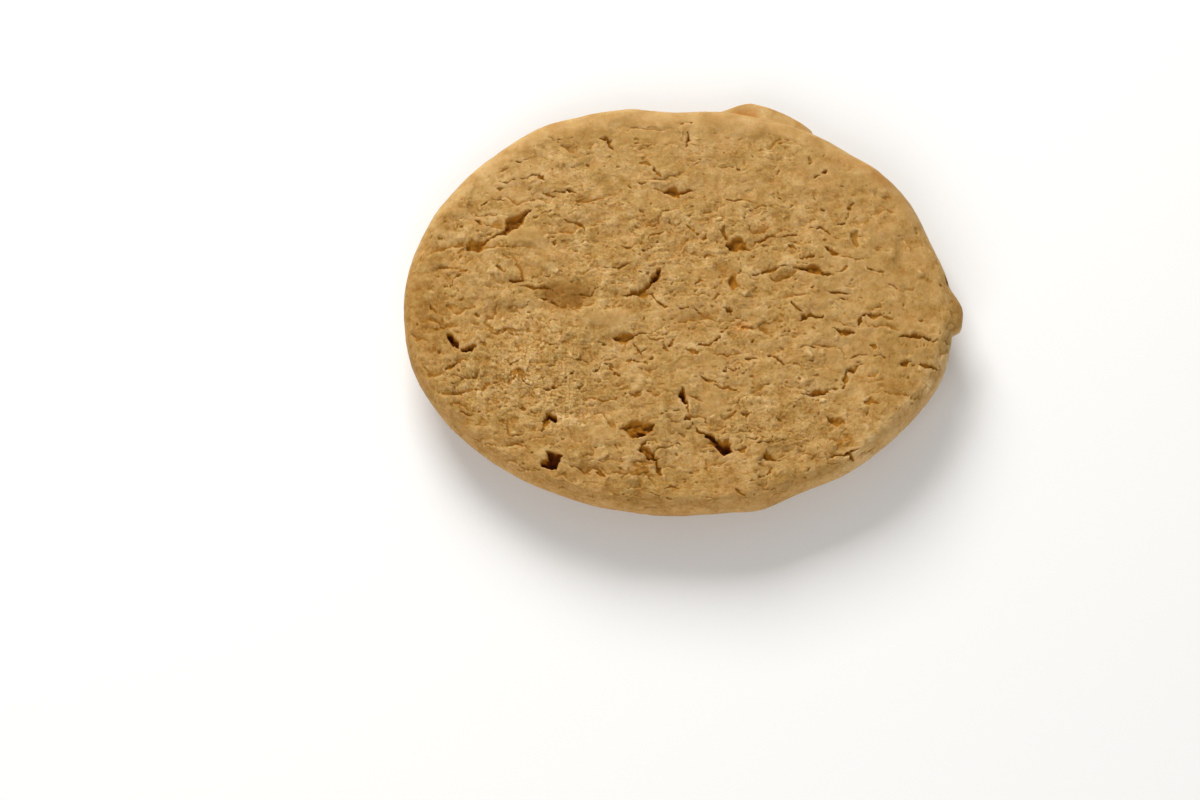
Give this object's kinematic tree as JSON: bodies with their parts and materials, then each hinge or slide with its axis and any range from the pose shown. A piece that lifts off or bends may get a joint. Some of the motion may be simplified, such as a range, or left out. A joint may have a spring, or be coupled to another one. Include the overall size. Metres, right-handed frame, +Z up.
{
  "type": "besan cookie",
  "caption": "Oval baked gram flour cookie lying down: flat, crazed and pitted face up, rounded edge with a small lump and nub, smooth domed side underneath.",
  "frame": {"origin": "on the resting surface, under the middle of the cookie's bounding box", "axes": "+X along the cookie's longest side (right in the picture), +Y across it (up in the picture), +Z up, out of the flat pitted face"},
  "size_m": [0.0728, 0.0574, 0.0099],
  "materials": {
    "baked_dough": "matte, crumbly baked gram flour dough"
  },
  "bodies": {
    "root": {"cookie": "baked_dough"}
  },
  "joints": []
}
